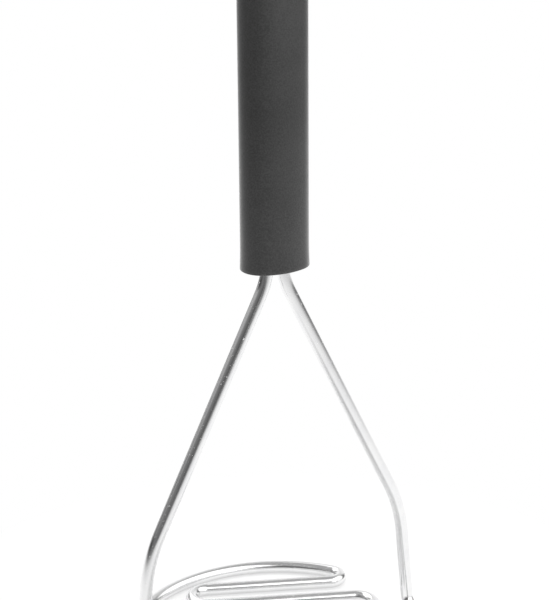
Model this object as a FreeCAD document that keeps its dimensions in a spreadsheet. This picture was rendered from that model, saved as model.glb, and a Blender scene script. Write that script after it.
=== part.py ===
import FreeCAD, Part
import math
import os

import Sketcher

# A potato masher: one plated wire bent into a round mashing grid and two legs, under an oval moulded grip.
# The grid lies on the XY plane with its runs along X, and the grip stands on +Z over the grid's centre.

doc = FreeCAD.newDocument("potato_masher")

# Driving dimensions in millimetres, with one angle in degrees
dimensions = {
    "wire_diameter": 5.5,
    "face_diameter": 133.4,
    "outer_run_inset": 18.35,
    "rim_gap": 7.4,
    "hook_radius": 5.2,
    "elbow_reach": 5.3,
    "leg_plane_angle": 19.3,
    "ankle_spread": 119.4,
    "ankle_height": 52.0,
    "ankle_bend_radius": 70.0,
    "neck_drop": 4.6,
    "neck_bend_radius": 36.0,
    "shank_gap": 0.9,
    "shank_overhang": 6.0,
    "grip_height": 172.5,
    "overall_length": 457.0,
    "grip_breadth": 29.2,
    "grip_depth": 20.2,
    "grip_side_crown": 1.2,
    "grip_wall": 2.6,
    "grip_edge_round": 0.5,
    "plug_length": 70.0,
    "plug_clearance": 1.8,
    "cap_height": 24.0,
    "cap_edge_round": 5.0,
    "spigot_length": 18.0,
    "hang_hole_diameter": 8.0,
    "hang_hole_drop": 12.5,
    "hang_hole_round": 0.8,
    "fit_gap": 0.1,
}
sheet = doc.addObject("Spreadsheet::Sheet", "Sizes")
for row, (alias, value) in enumerate(dimensions.items(), start=1):
    sheet.set(f"A{row}", alias)
    sheet.set(f"B{row}", str(value))
    sheet.setAlias(f"B{row}", alias)
doc.recompute()

up = FreeCAD.Vector(0, 0, 1)
tolerance = 1e-6


def size(alias):
    return float(sheet.get(alias))


def value(formula):
    return float(sheet.evalExpression(formula))


def bind(item, formulas):
    for name, formula in formulas.items():
        item.setExpression(name, formula)


# Binds a piece's place, and its turn about Z in degrees, to the sheet.
def stand(item, along="0", across="0", height="0", turn="0"):
    item.Placement = FreeCAD.Placement(FreeCAD.Vector(), FreeCAD.Rotation(up, 90))
    bind(item, {
        "Placement.Base.x": along,
        "Placement.Base.y": across,
        "Placement.Base.z": height,
        "Placement.Rotation.Angle": f"({turn}) * 1 deg",
    })


# Formulas of the wire's plan, which the pieces are bound to
wire_radius = "(Sizes.wire_diameter / 2)"
rim_radius = "((Sizes.face_diameter - Sizes.wire_diameter) / 2)"
tip_radius = f"({rim_radius} - Sizes.wire_diameter - Sizes.rim_gap)"

# The runs are evenly spaced, with the outer ones set in far enough for the rim to hook round into them.
runs_each_side = 3
run_count = 2 * runs_each_side + 1
run_pitch = f"(({rim_radius} - Sizes.outer_run_inset) / {runs_each_side})"
bend_radius = f"({run_pitch} / 2)"

# The shanks stand side by side, and the plug begins above the bends that lead out of them.
shank_offset = "((Sizes.wire_diameter + Sizes.shank_gap) / 2)"
neck_height = "(Sizes.grip_height - Sizes.neck_drop)"
neck_turn = f"atan((Sizes.ankle_spread / 2 - {shank_offset}) / ({neck_height} - Sizes.ankle_height))"
plug_height = f"({neck_height} + Sizes.neck_bend_radius * tan({neck_turn} / 2) + Sizes.plug_clearance)"


# Runs are counted from the rear, and each bend has the number of the run that leads into it.
def run_across(number):
    return f"({runs_each_side + 1 - number} * {run_pitch})"


def bend_across(number):
    return f"({run_across(number)} - {bend_radius})"


# The tips of the bends all lie on one circle inside the rim.
def bend_along(number):
    return f"(sqrt({tip_radius}^2 - {bend_across(number)}^2) - {bend_radius})"


# A hook touches the rim from inside and runs into the outermost run.
hook_across = f"({run_across(1)} + Sizes.hook_radius)"
hook_along = f"sqrt(({rim_radius} - Sizes.hook_radius)^2 - {hook_across}^2)"
hook_angle = f"(atan({hook_across} / {hook_along}) / 1 deg)"
elbow_angle = f"(atan(Sizes.elbow_reach / {rim_radius}) / 1 deg)"


def wire_arc(label, radius, sweep, **place):
    arc = doc.addObject("Part::Torus", label)
    bind(arc, {"Radius1": radius, "Radius2": wire_radius, "Angle3": f"({sweep}) * 1 deg"})
    stand(arc, height=wire_radius, **place)
    return arc


def grid_run(number):
    following = hook_along if number == run_count else bend_along(number)
    previous = hook_along if number == 1 else bend_along(number - 1)
    left, right = (following, previous) if number % 2 else (previous, following)
    run = doc.addObject("Part::Cylinder", f"grid_run_{number}")
    run.Placement = FreeCAD.Placement(FreeCAD.Vector(), FreeCAD.Rotation(up, FreeCAD.Vector(1, 0, 0)))
    bind(run, {
        "Radius": wire_radius,
        "Height": f"{left} + {right}",
        "Placement.Base.x": f"-{left}",
        "Placement.Base.y": run_across(number),
        "Placement.Base.z": wire_radius,
    })
    return run


# A half turn, at the left after an odd run and at the right after an even one
def grid_bend(number):
    side, turn = ("-1", "90") if number % 2 else ("1", "-90")
    place = {"along": f"{side} * {bend_along(number)}", "across": bend_across(number), "turn": turn}
    return wire_arc(f"grid_bend_{number}", bend_radius, "180", **place)


def rim_hook(label, side, turn):
    place = {"along": f"{side} * {hook_along}", "across": f"{side} * {hook_across}", "turn": turn}
    return wire_arc(label, "Sizes.hook_radius", f"90 + {hook_angle}", **place)


# An arc of the rim from its hook to the leg's elbow
def rim_arc(label, turn):
    sweep = f"180 + Sizes.leg_plane_angle - {elbow_angle} - {hook_angle}"
    return wire_arc(label, rim_radius, sweep, turn=f"{turn} + {hook_angle}")


# Straight lengths from corner to corner, each inner corner rounded by an arc with that tangent length.
# The last arc ends on the last corner.
def rounded_path(corners, tangents):
    edges = []
    start = corners[0]
    for before, corner, after, tangent in zip(corners, corners[1:], corners[2:], tangents):
        back = (before - corner).normalize()
        onward = (after - corner).normalize()
        inward = (back + onward).normalize()
        half_angle = back.getAngle(onward) / 2
        arc_start = corner + back * tangent
        arc_middle = corner + inward * (tangent / math.cos(half_angle) - tangent * math.tan(half_angle))
        arc_end = corner + onward * tangent
        edges.append(Part.LineSegment(start, arc_start).toShape())
        edges.append(Part.Arc(arc_start, arc_middle, arc_end).toShape())
        start = arc_end
    return Part.Wire(edges)


def tangent_length(before, corner, after, radius):
    return radius * math.tan((corner - before).getAngle(after - corner) / 2)


# Half of the wire above the rim: shank, neck bend, splayed leg, ankle bend, lower leg and elbow
def leg(label, turn):
    radius = size("wire_diameter") / 2
    rim_reach = value(rim_radius)
    shank = value(shank_offset)
    shank_top = value(f"{plug_height} + Sizes.plug_length + Sizes.shank_overhang")
    elbow_turn = math.atan2(size("elbow_reach"), rim_reach)
    corners = [
        FreeCAD.Vector(shank, 0, shank_top),
        FreeCAD.Vector(shank, 0, value(neck_height)),
        FreeCAD.Vector(size("ankle_spread") / 2, 0, size("ankle_height")),
        FreeCAD.Vector(math.hypot(rim_reach, size("elbow_reach")), 0, radius),
        FreeCAD.Vector(rim_reach * math.cos(elbow_turn), -rim_reach * math.sin(elbow_turn), radius),
    ]
    neck = tangent_length(*corners[0:3], size("neck_bend_radius"))
    ankle = tangent_length(*corners[1:4], size("ankle_bend_radius"))
    path = rounded_path(corners, [neck, ankle, size("elbow_reach")])
    section = Part.Wire([Part.Circle(corners[0], up, radius).toShape()])
    piece = doc.addObject("Part::Feature", label)
    piece.Shape = path.makePipeShell([section], True, False)
    stand(piece, turn=f"Sizes.leg_plane_angle + {turn}")
    swept = math.pi * radius ** 2 * path.Length
    print(f"{label}: volume is {piece.Shape.Volume / swept:.5f} of section times length")
    return piece


def new_body(label):
    body = doc.addObject("PartDesign::Body", label)
    body.Label = label
    return body


def new_sketch(body, role):
    sketch = body.newObject("Sketcher::SketchObject", f"{body.Label}_outline")
    plane = next(part for part in body.Origin.OriginFeatures if part.Role == role)
    sketch.AttachmentSupport = (plane, "")
    sketch.MapMode = "FlatFace"
    return sketch


def constrain(sketch, formulas):
    for constraint, formula in formulas:
        place = sketch.addConstraint(constraint)
        sketch.setExpression(f"Constraints[{place}]", formula)


def add_circle(sketch, x, y, radius):
    return sketch.addGeometry(Part.Circle(FreeCAD.Vector(x, y, 0), up, radius), False)


# The grip's section, set in all round: tangent arcs, two round ends on X and two flatter sides on Y that
# stand out beyond them by the crown
def add_oval(sketch, inset_parts=()):
    inset = sum(size(part) for part in inset_parts)
    half_breadth, half_depth = size("grip_breadth") / 2, size("grip_depth") / 2
    end = half_depth - size("grip_side_crown")
    side = (half_breadth ** 2 + half_depth ** 2 - 2 * half_breadth * end) / (2 * size("grip_side_crown"))
    end_centre, side_centre = half_breadth - end, side - half_depth
    lean = math.atan2(side_centre, end_centre)

    def add_arc(x, y, radius, first, last):
        circle = Part.Circle(FreeCAD.Vector(x, y, 0), up, radius - inset)
        return sketch.addGeometry(Part.ArcOfCircle(circle, first, last), False)

    right = add_arc(end_centre, 0, end, -lean, lean)
    rear = add_arc(0, -side_centre, side, lean, math.pi - lean)
    left = add_arc(-end_centre, 0, end, math.pi - lean, math.pi + lean)
    front = add_arc(0, side_centre, side, math.pi + lean, 2 * math.pi - lean)
    for this, following in ((right, rear), (rear, left), (left, front), (front, right)):
        sketch.addConstraint(Sketcher.Constraint("Tangent", this, 2, following, 1))
    for arc, axis in ((right, -1), (left, -1), (rear, -2)):
        sketch.addConstraint(Sketcher.Constraint("PointOnObject", arc, 3, axis))
    for one, other in ((right, left), (rear, front)):
        sketch.addConstraint(Sketcher.Constraint("Equal", one, other))

    inset_formula = "".join(f" - Sizes.{part}" for part in inset_parts)
    breadth, depth = "(Sizes.grip_breadth / 2)", "(Sizes.grip_depth / 2)"
    end_formula = f"({depth} - Sizes.grip_side_crown)"
    spare = f"({breadth}^2 + {depth}^2 - 2 * {breadth} * {end_formula})"
    side_formula = f"{spare} / (2 * Sizes.grip_side_crown)"
    constrain(sketch, (
        (Sketcher.Constraint("Radius", right, end - inset), end_formula + inset_formula),
        (Sketcher.Constraint("Radius", rear, side - inset), side_formula + inset_formula),
        (Sketcher.Constraint("DistanceX", -1, 1, right, 3, end_centre), f"{breadth} - {end_formula}"),
    ))


def add_pad(body, sketch, length, downwards=False):
    pad = body.newObject("PartDesign::Pad", f"{body.Label}_pad")
    pad.Profile = sketch
    pad.Reversed = downwards
    bind(pad, {"Length": length})
    doc.recompute()
    return pad


def add_round(body, feature, edges, radius):
    names = [f"Edge{number}" for number, edge in enumerate(feature.Shape.Edges, start=1)
             if any(edge.isSame(wanted) for wanted in edges)]
    fillet = body.newObject("PartDesign::Fillet", f"{body.Label}_round")
    fillet.Base = (feature, names)
    bind(fillet, {"Radius": radius})
    doc.recompute()
    return fillet


def flat_face(feature, highest):
    faces = [face for face in feature.Shape.Faces if abs(abs(face.normalAt(0, 0).z) - 1) < tolerance]
    return sorted(faces, key=lambda face: face.CenterOfMass.z)[-1 if highest else 0]


# A straight oval tube, rounded at its lower outside edge
def grip_sleeve():
    body = new_body("grip_sleeve")
    sketch = new_sketch(body, "XY_Plane")
    add_oval(sketch)
    add_oval(sketch, ["grip_wall"])
    tube = add_pad(body, sketch, "Sizes.overall_length - Sizes.grip_height - Sizes.cap_height")
    add_round(body, tube, flat_face(tube, False).OuterWire.Edges, "Sizes.grip_edge_round")
    stand(body, height="Sizes.grip_height", turn="Sizes.leg_plane_angle")
    return body


# The insert that fills the sleeve's lower end, bored through for the two shanks
def shank_plug():
    body = new_body("shank_plug")
    sketch = new_sketch(body, "XY_Plane")
    add_oval(sketch, ["grip_wall", "fit_gap"])
    shank, bore = value(shank_offset), size("wire_diameter") / 2 + size("fit_gap")
    left, right = add_circle(sketch, -shank, 0, bore), add_circle(sketch, shank, 0, bore)
    sketch.addConstraint(Sketcher.Constraint("Equal", left, right))
    sketch.addConstraint(Sketcher.Constraint("Symmetric", left, 3, right, 3, -1, 1))
    sketch.addConstraint(Sketcher.Constraint("PointOnObject", right, 3, -1))
    constrain(sketch, (
        (Sketcher.Constraint("Radius", right, bore), f"{wire_radius} + Sizes.fit_gap"),
        (Sketcher.Constraint("DistanceX", -1, 1, right, 3, shank), shank_offset),
    ))
    add_pad(body, sketch, "Sizes.plug_length")
    stand(body, height=plug_height, turn="Sizes.leg_plane_angle")
    return body


# The closed upper end: a spigot in the sleeve, a rounded top and a hole to hang the masher by
def end_cap():
    body = new_body("end_cap")
    outside = new_sketch(body, "XY_Plane")
    add_oval(outside)
    add_pad(body, outside, "Sizes.cap_height")
    inside = new_sketch(body, "XY_Plane")
    add_oval(inside, ["grip_wall", "fit_gap"])
    plain = add_pad(body, inside, "Sizes.spigot_length", downwards=True)
    topped = add_round(body, plain, flat_face(plain, True).OuterWire.Edges, "Sizes.cap_edge_round")

    across = new_sketch(body, "XZ_Plane")
    hole_height = size("cap_height") - size("hang_hole_drop")
    circle = add_circle(across, 0, hole_height, size("hang_hole_diameter") / 2)
    across.addConstraint(Sketcher.Constraint("PointOnObject", circle, 3, -2))
    constrain(across, (
        (Sketcher.Constraint("Diameter", circle, size("hang_hole_diameter")), "Sizes.hang_hole_diameter"),
        (Sketcher.Constraint("DistanceY", -1, 1, circle, 3, hole_height),
         "Sizes.cap_height - Sizes.hang_hole_drop"),
    ))
    hole = body.newObject("PartDesign::Pocket", "hang_hole")
    hole.Profile = across
    hole.Type = "ThroughAll"
    hole.SideType = "Symmetric"
    doc.recompute()
    print(f"end_cap: hang hole takes {topped.Shape.Volume - hole.Shape.Volume:.1f} cubic mm")
    walls = [face for face in hole.Shape.Faces if isinstance(face.Surface, Part.Cylinder)
             and abs(face.Surface.Axis.y) > 1 - tolerance]
    add_round(body, hole, [edge for wall in walls for edge in wall.Edges
                           if not isinstance(edge.Curve, Part.Line)], "Sizes.hang_hole_round")
    stand(body, height="Sizes.overall_length - Sizes.cap_height", turn="Sizes.leg_plane_angle")
    return body


pieces = [grip_sleeve(), shank_plug(), end_cap()]
pieces += [leg("right_leg", "0"), leg("left_leg", "180")]
pieces += [rim_arc("rear_rim", "0"), rim_arc("front_rim", "180")]
pieces += [rim_hook("rear_hook", "1", "-90"), rim_hook("front_hook", "-1", "90")]
pieces += [grid_run(number) for number in range(1, run_count + 1)]
pieces += [grid_bend(number) for number in range(1, run_count)]
doc.recompute()

for item in doc.Objects:
    if "Invalid" in item.State or "Error" in item.State:
        raise RuntimeError(f"{item.Label} failed: {item.State}")
for piece in pieces:
    if piece.Shape.isNull() or not piece.Shape.isValid() or len(piece.Shape.Solids) != 1:
        raise RuntimeError(f"{piece.Label} is not one valid solid")

os.makedirs("parts", exist_ok=True)
for piece in pieces:
    piece.Shape.exportStep(f"parts/{piece.Label}.step")
print(f"{len(pieces)} pieces written, {run_count} runs in the grid")
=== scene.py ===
import math

import bpy
from mathutils import Matrix, Vector


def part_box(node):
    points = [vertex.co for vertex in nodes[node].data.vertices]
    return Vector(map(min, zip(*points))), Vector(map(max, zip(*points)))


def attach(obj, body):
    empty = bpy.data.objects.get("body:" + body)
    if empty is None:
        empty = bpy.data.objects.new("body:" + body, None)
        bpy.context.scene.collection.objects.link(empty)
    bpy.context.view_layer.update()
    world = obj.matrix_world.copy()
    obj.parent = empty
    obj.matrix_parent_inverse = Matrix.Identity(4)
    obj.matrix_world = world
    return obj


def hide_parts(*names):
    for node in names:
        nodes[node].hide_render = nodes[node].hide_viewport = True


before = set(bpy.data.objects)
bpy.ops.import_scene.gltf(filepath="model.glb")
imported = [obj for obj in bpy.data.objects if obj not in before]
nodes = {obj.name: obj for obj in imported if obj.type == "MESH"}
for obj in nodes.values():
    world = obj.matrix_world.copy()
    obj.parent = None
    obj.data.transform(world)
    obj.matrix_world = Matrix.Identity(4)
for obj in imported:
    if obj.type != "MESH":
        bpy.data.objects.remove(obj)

mm = 0.001
samePoint = 0.005     # points this close together are merged, in mm
sameHeight = 0.02     # points this close in height count as level, in mm
sharpAngle = 35       # edges that turn by more degrees than this stay crisp
upwards = Vector((0, 0, 1))

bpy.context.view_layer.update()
print("masher loaded:", len(nodes), "nodes")


def deselectAll():
    if bpy.context.object and bpy.context.object.mode != "OBJECT":
        bpy.ops.object.mode_set(mode="OBJECT")
    bpy.ops.object.select_all(action="DESELECT")


# leaves edit mode and puts the piece's place into its mesh
def finishPiece(name):
    if bpy.context.object.mode != "OBJECT":
        bpy.ops.object.mode_set(mode="OBJECT")
    bpy.ops.object.transform_apply(location=True, rotation=True, scale=True)
    bpy.ops.object.shade_smooth_by_angle(angle=math.radians(sharpAngle))
    piece = bpy.context.object
    piece.name = piece.data.name = name
    return piece


# selects the edges whose two ends both lie at one height
def selectEdgesAt(height):
    piece = bpy.context.object
    bpy.ops.mesh.select_all(action="DESELECT")
    bpy.ops.mesh.select_mode(type="EDGE")
    bpy.ops.object.mode_set(mode="OBJECT")
    points = piece.data.vertices
    level = height * mm - piece.location.z
    for edge in piece.data.edges:
        edge.select = all(abs(points[end].co.z - level) < sameHeight * mm for end in edge.vertices)
    bpy.ops.object.mode_set(mode="EDIT")


# one length of plated wire, bent the way a wire bender forms it: straight feeds and turns, sizes in mm
wireForm = {
    "diameter": 5.5,
    "faceDiameter": 133.4,
    "runsEachSide": 3,
    "outerRunInset": 18.35,   # from the rim's line to the outer runs
    "rimGap": 7.4,            # clear space from the hairpin tips to the rim
    "hookRadius": 5.2,        # the rim's turn into the outer runs
    "elbowReach": 5.3,
    "legPlaneAngle": 19.3,    # the legs' plane against the runs
    "ankleSpread": 119.4,
    "ankleHeight": 52.0,
    "ankleRadius": 70.0,
    "neckHeight": 167.9,
    "neckRadius": 36.0,
    "shankGap": 0.9,
    "sides": 48,
    "degreesPerStep": 5.0,
    "longestStep": 2.4,
}


# the radius of the rim's middle line, and the angle of it that an elbow takes up
def rimLine(form):
    radius = (form["faceDiameter"] - form["diameter"]) / 2
    return radius, math.atan2(form["elbowReach"], radius)


# the right leg from the shank's end down to where the elbow meets the rim: start, heading and moves
def planLeg(form):
    rim, elbowAngle = rimLine(form)
    wireRadius = form["diameter"] / 2
    shank = (form["diameter"] + form["shankGap"]) / 2
    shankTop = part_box("right_leg")[1][2] / mm
    legTurn = Matrix.Rotation(math.radians(form["legPlaneAngle"]), 3, upwards)
    corners = [legTurn @ Vector(corner) for corner in (
        (shank, 0, shankTop),
        (shank, 0, form["neckHeight"]),
        (form["ankleSpread"] / 2, 0, form["ankleHeight"]),
        (math.hypot(rim, form["elbowReach"]), 0, wireRadius),
        (rim * math.cos(elbowAngle), -rim * math.sin(elbowAngle), wireRadius),
    )]
    headings = [(after - before).normalized() for before, after in zip(corners, corners[1:])]
    turns = [before.angle(after) for before, after in zip(headings, headings[1:])]
    axes = [before.cross(after).normalized() for before, after in zip(headings, headings[1:])]
    radii = [form["neckRadius"], form["ankleRadius"], form["elbowReach"] / math.tan(turns[2] / 2)]
    moves = []
    taken = 0
    for number, (radius, turn, axis) in enumerate(zip(radii, turns, axes)):
        straight = (corners[number + 1] - corners[number]).length
        setback = radius * math.tan(turn / 2)
        moves.append(("feed", straight - taken - setback))
        moves.append(("turn", radius, axis, math.degrees(turn)))
        taken = setback
    return corners[0], headings[0], moves


# from the elbow round the rim and through the grid, as far as the middle of the middle run
def planHalfFace(form):
    rim, elbowAngle = rimLine(form)
    pitch = (rim - form["outerRunInset"]) / form["runsEachSide"]
    tips = rim - form["diameter"] - form["rimGap"]
    hook = form["hookRadius"]
    hookAcross = form["runsEachSide"] * pitch + hook
    hookAlong = math.sqrt((rim - hook) ** 2 - hookAcross ** 2)
    hookAngle = math.degrees(math.atan2(hookAcross, hookAlong))
    moves = [
        ("turn", rim, -upwards, 180 + form["legPlaneAngle"] - math.degrees(elbowAngle) - hookAngle),
        ("turn", hook, -upwards, 90 + hookAngle),
    ]
    behind = hookAlong
    axis = upwards
    for number in range(form["runsEachSide"], 0, -1):
        across = (number - 0.5) * pitch   # a hairpin stands halfway between two runs
        ahead = math.sqrt(tips ** 2 - across ** 2) - pitch / 2
        moves.append(("feed", behind + ahead))
        moves.append(("turn", pitch / 2, axis, 180))
        behind = ahead
        axis = -axis
    moves.append(("feed", behind))
    return moves


def bendWire(form):
    start, heading, moves = planLeg(form)
    moves += planHalfFace(form)
    # the other half is the same, half a turn round and followed the other way
    for kind, *values in moves[::-1]:
        if kind == "turn":
            radius, axis, degrees = values
            values = radius, Vector((axis.x, axis.y, -axis.z)), degrees
        moves.append((kind, *values))

    deselectAll()
    bpy.ops.mesh.primitive_circle_add(
        vertices=form["sides"], radius=form["diameter"] / 2 * mm, location=start * mm)
    bpy.ops.object.mode_set(mode="EDIT")
    bpy.ops.mesh.select_all(action="SELECT")
    place = start
    for kind, *values in moves:
        if kind == "feed":
            feed = heading * values[0]
            bpy.ops.mesh.extrude_edges_move(TRANSFORM_OT_translate={"value": feed * mm})
            place = place + feed
        else:
            radius, axis, degrees = values
            centre = place + axis.cross(heading) * radius
            turn = math.radians(degrees)
            steps = math.ceil(max(degrees / form["degreesPerStep"], turn * radius / form["longestStep"]))
            # spin turns left-handed
            bpy.ops.mesh.spin(steps=steps, angle=-turn, center=centre * mm, axis=axis)
            swing = Matrix.Rotation(turn, 3, axis)
            place = centre + swing @ (place - centre)
            heading = swing @ heading
    bpy.ops.mesh.select_all(action="SELECT")
    bpy.ops.mesh.remove_doubles(threshold=samePoint * mm)
    bpy.ops.mesh.fill_holes(sides=0)   # closes both ends, however many sides they have
    bpy.ops.mesh.select_all(action="SELECT")
    bpy.ops.mesh.normals_make_consistent(inside=False)
    miss = place - Vector((-start.x, -start.y, start.z))
    print(f"wire bent: {len(moves)} moves, far shank {miss.length:.4f} mm from its place")
    return finishPiece("bentWire")


# the oval tube that the hand holds, in mm
gripSleeve = {
    "breadth": 29.2,
    "depth": 20.2,
    "sideCrown": 1.2,
    "turn": wireForm["legPlaneAngle"],   # its broad side lies in the legs' plane
    "wall": 2.6,
    "mouthFlare": 0.25,                  # the lower end stands out a little, as in the picture
    "flareLength": 11.0,
    "flareSteps": 6,
    "mouthRound": 0.35,
    "mouthRoundSteps": 3,
    "seamRound": 0.25,
    "seamRoundSteps": 2,
    "endSteps": 30,
    "sideSteps": 16,
}


# draws the grip's oval by carrying one point round four tangent arcs
def drawOval(form, height):
    halfBreadth, halfDepth = form["breadth"] / 2, form["depth"] / 2
    end = halfDepth - form["sideCrown"]
    side = (halfBreadth ** 2 + halfDepth ** 2 - 2 * halfBreadth * end) / (2 * form["sideCrown"])
    endCentre, sideCentre = halfBreadth - end, side - halfDepth
    lean = math.atan2(sideCentre, endCentre)
    start = Vector((endCentre + end * math.cos(lean), -end * math.sin(lean), height))
    arcs = (
        (Vector((endCentre, 0, height)), 2 * lean, form["endSteps"]),
        (Vector((0, -sideCentre, height)), math.pi - 2 * lean, form["sideSteps"]),
        (Vector((-endCentre, 0, height)), 2 * lean, form["endSteps"]),
        (Vector((0, sideCentre, height)), math.pi - 2 * lean, form["sideSteps"]),
    )
    deselectAll()
    bpy.ops.mesh.primitive_plane_add(size=mm, location=start * mm)
    bpy.ops.object.mode_set(mode="EDIT")
    bpy.ops.mesh.select_all(action="SELECT")
    bpy.ops.mesh.merge(type="CENTER")
    for centre, turn, steps in arcs:
        bpy.ops.mesh.spin(steps=steps, angle=-turn, center=centre * mm, axis=upwards)
    bpy.ops.mesh.select_all(action="SELECT")
    bpy.ops.mesh.remove_doubles(threshold=samePoint * mm)


# carries the lower end down in steps, each standing out a little more
def flareMouth(form, flareTop):
    selectEdgesAt(flareTop)
    drop = form["flareLength"] / form["flareSteps"]
    flared = 0
    for step in range(1, form["flareSteps"] + 1):
        flare = form["mouthFlare"] * (step / form["flareSteps"]) ** 2
        grow = [(side / 2 + flare) / (side / 2 + flared) for side in (form["breadth"], form["depth"])]
        bpy.ops.mesh.extrude_edges_move(TRANSFORM_OT_translate={"value": (0, 0, -drop * mm)})
        bpy.ops.transform.resize(value=(*grow, 1), center_override=(0, 0, 0))
        flared = flare
    bpy.ops.mesh.select_all(action="SELECT")
    bpy.ops.mesh.normals_make_consistent(inside=False)


def makeSleeve(form):
    mouth, top = (corner[2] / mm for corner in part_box("grip_sleeve"))
    flareTop = mouth + form["flareLength"]
    drawOval(form, flareTop)
    bpy.ops.mesh.extrude_edges_move(TRANSFORM_OT_translate={"value": (0, 0, (top - flareTop) * mm)})
    flareMouth(form, flareTop)
    bpy.ops.object.mode_set(mode="OBJECT")
    sleeve = bpy.context.object
    wall = sleeve.modifiers.new("wall", "SOLIDIFY")
    wall.thickness = form["wall"] * mm
    wall.offset = -1   # inwards
    wall.use_even_offset = True
    bpy.ops.object.modifier_apply(modifier="wall")
    bpy.ops.object.mode_set(mode="EDIT")
    for height, name in ((mouth, "mouthRound"), (top, "seamRound")):
        selectEdgesAt(height)
        bpy.ops.mesh.bevel(offset=form[name] * mm, segments=form[name + "Steps"], affect="EDGES")
    bpy.ops.object.mode_set(mode="OBJECT")
    # its place goes into the mesh first, so that it turns about the masher's axis
    bpy.ops.object.transform_apply(location=True, rotation=False, scale=False)
    sleeve.rotation_euler.z = math.radians(form["turn"])
    print("sleeve made:", len(sleeve.data.polygons), "faces")
    return finishPiece("gripSleeve")


# turns an sRGB hex colour into the linear values that the shader takes
def linear(hexColour):
    parts = [int(hexColour[place:place + 2], 16) / 255 for place in (1, 3, 5)]
    return [part / 12.92 if part <= 0.04045 else ((part + 0.055) / 1.055) ** 2.4 for part in parts] + [1]


def grey(level):
    return [level, level, level, 1]


# adds a node with its settings, inputs by name or number, and links
def addNode(tree, kind, settings=None, links=None):
    node = tree.nodes.new(kind)
    for name, value in (settings or {}).items():
        if isinstance(name, int) or name in node.inputs:
            node.inputs[name].default_value = value
        else:
            setattr(node, name, value)
    for name, source in (links or {}).items():
        tree.links.new(source, node.inputs[name])
    return node


# sets where a ramp's stops stand, and the hex colour or grey level of each
def setRamp(node, stops):
    ramp = node.color_ramp
    while len(ramp.elements) < len(stops):
        ramp.elements.new(0.5)   # moved to its place below
    for element, (position, value) in zip(ramp.elements, stops):
        element.position = position
        element.color = linear(value) if isinstance(value, str) else grey(value)


def newMaterial(name):
    material = bpy.data.materials.new(name)
    material.use_nodes = True
    material.node_tree.nodes.clear()
    return material, material.node_tree


# bright chrome on drawn steel wire: mirror-like, with a faint ripple and fine pits in the plating
chromeFinish = {
    "tint": ((0.35, "#EFEFF0"), (0.65, "#F4F4F4")),              # over the ripple
    "roughness": ((0.35, 0.17), (0.66, 0.185), (0.72, 0.45)),    # over the pits: clear, hazy, pitted
    "plating": ((0.67, 1), (0.72, 0.2)),                         # over the pits: how much metal is left
    "rippleMm": 9.0,
    "rippleDetail": 2,
    "rippleDepthMm": 0.012,
    "pitMm": 0.8,             # real pits are finer, drawn this coarse so that they show
    "pitDetail": 3,
    "pitDepthMm": 0.001,
    "bump": 0.1,
}


def makeChrome(form):
    material, tree = newMaterial("chromePlatedSteelWire")
    place = addNode(tree, "ShaderNodeTexCoord").outputs["Object"]
    ripple = addNode(tree, "ShaderNodeTexNoise", {
        "Scale": 1 / (form["rippleMm"] * mm),
        "Detail": form["rippleDetail"],
    }, {"Vector": place}).outputs["Fac"]
    pits = addNode(tree, "ShaderNodeTexNoise", {
        "Scale": 1 / (form["pitMm"] * mm),
        "Detail": form["pitDetail"],
    }, {"Vector": place}).outputs["Fac"]
    tint = addNode(tree, "ShaderNodeValToRGB", {}, {"Fac": ripple})
    setRamp(tint, form["tint"])
    gloss = addNode(tree, "ShaderNodeValToRGB", {}, {"Fac": pits})
    setRamp(gloss, form["roughness"])
    plated = addNode(tree, "ShaderNodeValToRGB", {}, {"Fac": pits})
    setRamp(plated, form["plating"])
    wave = addNode(tree, "ShaderNodeBump", {
        "Strength": form["bump"],
        "Distance": form["rippleDepthMm"] * mm,
    }, {"Height": ripple})
    relief = addNode(tree, "ShaderNodeBump", {
        "Strength": form["bump"],
        "Distance": form["pitDepthMm"] * mm,
    }, {"Height": pits, "Normal": wave.outputs["Normal"]})
    shader = addNode(tree, "ShaderNodeBsdfPrincipled", {}, {
        "Base Color": tint.outputs["Color"],
        "Metallic": plated.outputs["Color"],
        "Roughness": gloss.outputs["Color"],
        "Normal": relief.outputs["Normal"],
    })
    addNode(tree, "ShaderNodeOutputMaterial", {}, {"Surface": shader.outputs["BSDF"]})
    return material


# black polypropylene moulded in a spark-eroded tool: a fine matt grain that catches the light
gripFinish = {
    "name": "blackGrainedPolypropylene",
    "tint": ((0.5, "#2B2B2B"), (0.85, "#3D3D3D")),    # over the grain and the cloud together
    "roughness": ((0.35, 0.4), (0.65, 0.3)),          # over the grain
    "grainMm": 0.62,          # real grain is about half this, drawn coarser so that it shows
    "grainDetail": 2,
    "grainDepthMm": 0.052,
    "bump": 0.5,
    "cloudMm": 18.0,
    "cloudDetail": 3,
    "cloudShare": 0.35,
    "ior": 1.49,
    "specular": 0.62,
    "sheen": 0.7,
    "sheenRoughness": 0.35,
}

# the plug is the same plastic from a plain tool: a shallower grain and hardly any sheen
plugFinish = {
    **gripFinish,
    "name": "blackPlainPolypropylene",
    "tint": ((0.5, "#2A2A2A"), (0.85, "#343434")),
    "roughness": ((0.35, 0.44), (0.65, 0.34)),
    "grainMm": 1.6,
    "grainDepthMm": 0.01,
    "cloudMm": 12.0,
    "specular": 0.5,
    "sheen": 0.05,
}


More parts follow.
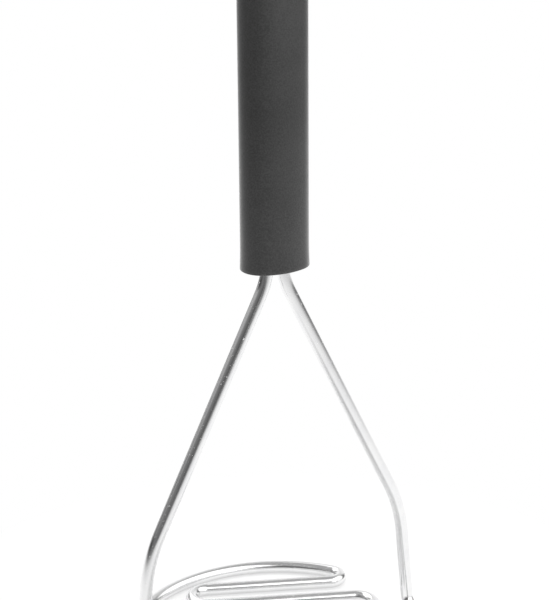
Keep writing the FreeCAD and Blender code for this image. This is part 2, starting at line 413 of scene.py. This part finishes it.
def makePlastic(form):
    material, tree = newMaterial(form["name"])
    place = addNode(tree, "ShaderNodeTexCoord").outputs["Object"]
    grain = addNode(tree, "ShaderNodeTexNoise", {
        "Scale": 1 / (form["grainMm"] * mm),
        "Detail": form["grainDetail"],
    }, {"Vector": place}).outputs["Fac"]
    cloud = addNode(tree, "ShaderNodeTexNoise", {
        "Scale": 1 / (form["cloudMm"] * mm),
        "Detail": form["cloudDetail"],
    }, {"Vector": place}).outputs["Fac"]
    mottle = addNode(tree, "ShaderNodeMath", {
        "operation": "MULTIPLY_ADD",
        1: form["cloudShare"],
    }, {0: cloud, 2: grain})
    tint = addNode(tree, "ShaderNodeValToRGB", {}, {"Fac": mottle.outputs["Value"]})
    setRamp(tint, form["tint"])
    gloss = addNode(tree, "ShaderNodeValToRGB", {}, {"Fac": grain})
    setRamp(gloss, form["roughness"])
    relief = addNode(tree, "ShaderNodeBump", {
        "Strength": form["bump"],
        "Distance": form["grainDepthMm"] * mm,
    }, {"Height": grain})
    shader = addNode(tree, "ShaderNodeBsdfPrincipled", {
        "IOR": form["ior"],
        "Specular IOR Level": form["specular"],
        "Sheen Weight": form["sheen"],
        "Sheen Roughness": form["sheenRoughness"],
    }, {
        "Base Color": tint.outputs["Color"],
        "Roughness": gloss.outputs["Color"],
        "Normal": relief.outputs["Normal"],
    })
    addNode(tree, "ShaderNodeOutputMaterial", {}, {"Surface": shader.outputs["BSDF"]})
    return material


def dress(piece, material):
    piece.data.materials.clear()
    piece.data.materials.append(material)


chrome = makeChrome(chromeFinish)
gripPlastic = makePlastic(gripFinish)
plugPlastic = makePlastic(plugFinish)
print("finishes mixed")

wire = bendWire(wireForm)
dress(wire, chrome)
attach(wire, "root")
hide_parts(*[name for name in nodes if name not in ("grip_sleeve", "end_cap", "shank_plug")])

sleeve = makeSleeve(gripSleeve)
dress(sleeve, gripPlastic)
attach(sleeve, "root")
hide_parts("grip_sleeve")

dress(nodes["end_cap"], gripPlastic)
dress(nodes["shank_plug"], plugPlastic)
print("pieces dressed")


# round table top that the masher stands on: shown white, and still shaded by the lamps near the masher;
# each level runs from one value near its centre to another further out, lengths in m
floorLook = {
    "radius": 4.0,
    "sides": 128,
    "colour": "#FAFAFA",
    # how white it is shown
    "glow": {"level": (0.5, 1.0), "reach": (0.07, 0.17), "centre": (0, 0, 0)},
    # painted shadow under the masher, in the floor's glow where the plating shows it
    "shade": {"level": (0.62, 1.0), "reach": (0.02, 0.075), "centre": (-0.01, -0.05, 0)},
    # painted light falloff in the floor's glow where the plating shows it: a little over white near the
    # masher, darker towards its edge
    "paintedFalloff": {"level": (1.05, 0.13), "reach": (0.42, 1.25), "centre": (0.12, 0.34, 0)},
    # painted contact shadow in the floor's glow where the plating shows it: darker right beside the wire
    # that lies on it
    "contactShadow": 0.55,          # what the plating shows right beside the wire that lies on it
    "contactReach": 0.005,
    "contactRays": 4,
}


def makeFloor(form):
    deselectAll()
    bpy.ops.mesh.primitive_circle_add(vertices=form["sides"], radius=form["radius"], fill_type="NGON")
    floor = finishPiece("paleFloor")
    material, tree = newMaterial("whiteTableTop")
    rays = addNode(tree, "ShaderNodeLightPath").outputs
    place = addNode(tree, "ShaderNodeTexCoord").outputs["Object"]
    levels = {}
    for name in ("glow", "shade", "paintedFalloff"):
        near, far = form[name]["reach"]
        inner, outer = form[name]["level"]
        away = addNode(tree, "ShaderNodeVectorMath", {
            "operation": "DISTANCE",
            1: form[name]["centre"],
        }, {0: place})
        level = addNode(tree, "ShaderNodeMapRange", {
            "From Min": near,
            "From Max": far,
            "To Min": inner,
            "To Max": outer,
        }, {"Value": away.outputs["Value"]})
        levels[name] = level.outputs["Result"]
    # painted contact shadow: ambient occlusion darkens the glow that the plating sees beside the wire
    gaps = addNode(tree, "ShaderNodeAmbientOcclusion", {
        "samples": form["contactRays"],
        "Distance": form["contactReach"],
    })
    contactShadow = addNode(tree, "ShaderNodeMapRange", {
        "To Min": form["contactShadow"],
    }, {"Value": gaps.outputs["AO"]})
    # painted shadow under the masher and painted light falloff, taken together for the plating
    wide = addNode(tree, "ShaderNodeMath", {"operation": "MULTIPLY"}, {
        0: levels["shade"],
        1: levels["paintedFalloff"],
    })
    mirrored = addNode(tree, "ShaderNodeMath", {"operation": "MULTIPLY"}, {
        0: wide.outputs["Value"],
        1: contactShadow.outputs["Result"],
    })
    # how much of it glows, and how strongly: the camera sees white, the plating the mirrored level,
    # which carries the painted shadows and the painted light falloff
    share = addNode(tree, "ShaderNodeMath", {"operation": "MULTIPLY_ADD"}, {
        0: rays["Is Camera Ray"],
        1: levels["glow"],
        2: rays["Is Glossy Ray"],
    })
    strength = addNode(tree, "ShaderNodeMath", {"operation": "MULTIPLY_ADD"}, {
        0: rays["Is Glossy Ray"],
        1: mirrored.outputs["Value"],
        2: rays["Is Camera Ray"],
    })
    matt = addNode(tree, "ShaderNodeBsdfDiffuse", {"Color": linear(form["colour"])})
    white = addNode(tree, "ShaderNodeEmission", {
        "Color": grey(1),
    }, {"Strength": strength.outputs["Value"]})
    mix = addNode(tree, "ShaderNodeMixShader", {}, {
        0: share.outputs["Value"],
        1: matt.outputs["BSDF"],
        2: white.outputs["Emission"],
    })
    addNode(tree, "ShaderNodeOutputMaterial", {}, {"Surface": mix.outputs["Shader"]})
    dress(floor, material)


# soft studio: grey walls by compass angle, from the left round by the front, a ceiling and lamp boxes;
# white where the camera sees it, angles in degrees, lengths in m
studio = {
    "walls": ((0, 0.47), (30, 0.21), (84, 0.085), (120, 0.96), (176, 0.92), (190, 0.16),
              (211, 0.16), (230, 0.98), (282, 0.98), (302, 0.42), (335, 0.52), (360, 0.47)),
    "ceiling": 0.4,
    "ceilingFrom": (22, 62),      # heights at which the walls end and the ceiling begins
    "card": ((0, 1), (15, 1), (45, 0), (325, 0), (350, 1), (360, 1)),   # low dark card on the left
    "cardLevel": 0.05,
    "cardTop": (8, 12),           # heights at which the card ends and the wall behind it begins
    "aimHeight": 0.12,
    "boxes": {
        "fillBox": {"at": (0.1, 0.0, 1.8), "size": (1.6, 1.6), "power": 15, "inPlating": False},
        "rightBox": {"at": (1.05, -0.5, 1.3), "size": (2.8, 1.7), "power": 16.2, "inPlating": True},
        "frontBox": {"at": (0.35, -1.2, 1.25), "size": (0.9, 0.3), "power": 0.93, "inPlating": True},
        "leftBox": {"at": (-0.8, 0.8, 1.25), "size": (2.0, 1.15), "power": 7.9, "inPlating": True},
    },
}


def makeRoom(form):
    world = bpy.data.worlds.new("studioRoom")
    bpy.context.scene.world = world
    world.use_nodes = True
    tree = world.node_tree
    tree.nodes.clear()
    rays = addNode(tree, "ShaderNodeLightPath").outputs
    towards = addNode(tree, "ShaderNodeTexCoord").outputs["Generated"]
    height = addNode(tree, "ShaderNodeSeparateXYZ", {}, {0: towards}).outputs["Z"]
    compass = addNode(tree, "ShaderNodeTexGradient", {"gradient_type": "RADIAL"}, {"Vector": towards})
    walls = addNode(tree, "ShaderNodeValToRGB", {}, {"Fac": compass.outputs["Fac"]})
    setRamp(walls, [(angle / 360, level) for angle, level in form["walls"]])
    card = addNode(tree, "ShaderNodeValToRGB", {}, {"Fac": compass.outputs["Fac"]})
    setRamp(card, [(angle / 360, share) for angle, share in form["card"]])
    low, high = (math.sin(math.radians(angle)) for angle in form["cardTop"])
    below = addNode(tree, "ShaderNodeMapRange", {
        "From Min": low,
        "From Max": high,
        "To Min": 1,
        "To Max": 0,
    }, {"Value": height})
    covered = addNode(tree, "ShaderNodeMath", {"operation": "MULTIPLY"}, {
        0: card.outputs["Color"],
        1: below.outputs["Result"],
    })
    low, high = (math.sin(math.radians(angle)) for angle in form["ceilingFrom"])
    above = addNode(tree, "ShaderNodeMapRange", {"From Min": low, "From Max": high}, {"Value": height})
    # a colour mix takes its two colours at inputs 6 and 7 and gives the result at output 2
    carded = addNode(tree, "ShaderNodeMix", {
        "data_type": "RGBA",
        7: grey(form["cardLevel"]),
    }, {0: covered.outputs["Value"], 6: walls.outputs["Color"]})
    roofed = addNode(tree, "ShaderNodeMix", {
        "data_type": "RGBA",
        7: grey(form["ceiling"]),
    }, {0: above.outputs["Result"], 6: carded.outputs[2]})
    room = addNode(tree, "ShaderNodeBackground", {}, {"Color": roofed.outputs[2]})
    white = addNode(tree, "ShaderNodeBackground", {"Color": grey(1)})
    mix = addNode(tree, "ShaderNodeMixShader", {}, {
        0: rays["Is Camera Ray"],
        1: room.outputs["Background"],
        2: white.outputs["Background"],
    })
    addNode(tree, "ShaderNodeOutputWorld", {}, {"Surface": mix.outputs["Shader"]})


def hangBoxes(form):
    target = Vector((0, 0, form["aimHeight"]))
    for name, box in form["boxes"].items():
        deselectAll()
        place = Vector(box["at"])
        aim = (target - place).to_track_quat("-Z", "Y")
        bpy.ops.object.light_add(type="AREA", location=place, rotation=aim.to_euler())
        lamp = bpy.context.object
        lamp.name = name
        lamp.data.shape = "RECTANGLE"
        lamp.data.size, lamp.data.size_y = box["size"]
        lamp.data.energy = box["power"]
        lamp.visible_glossy = box["inPlating"]


# where the picture was taken from: angles in degrees, lengths in mm
photograph = {
    "azimuth": -6.6,
    "elevation": 20.481,
    "roll": -0.496,
    "distance": 900.0,
    "aimRight": -0.231,
    "aimHeight": 157.88,
    "focalPixels": 2197.98,   # focal length, in pixels of a picture with the height below
    "pictureHeight": 600,
    "sensorHeight": 24.0,
    "farthest": 50000.0,
}


def placeCamera(form):
    azimuth, elevation, roll = (math.radians(form[name]) for name in ("azimuth", "elevation", "roll"))
    right = Vector((math.cos(azimuth), math.sin(azimuth), 0))
    back = upwards.cross(-right) * math.cos(elevation) + upwards * math.sin(elevation)
    upright = back.cross(right)
    side = right * math.cos(roll) + upright * math.sin(roll)
    top = upright * math.cos(roll) - right * math.sin(roll)
    place = right * form["aimRight"] + upwards * form["aimHeight"] + back * form["distance"]
    turn = Matrix((side, top, back)).transposed().to_4x4()
    deselectAll()
    bpy.ops.object.camera_add()
    camera = bpy.context.object
    camera.name = "photographCamera"
    camera.matrix_world = Matrix.Translation(place * mm) @ turn
    camera.data.sensor_fit = "VERTICAL"
    camera.data.sensor_height = form["sensorHeight"]
    camera.data.lens = form["sensorHeight"] * form["focalPixels"] / form["pictureHeight"]
    camera.data.clip_end = form["farthest"] * mm
    bpy.context.scene.camera = camera


makeFloor(floorLook)
makeRoom(studio)
hangBoxes(studio)
placeCamera(photograph)
bpy.context.scene.view_settings.view_transform = "Standard"
print("studio set")
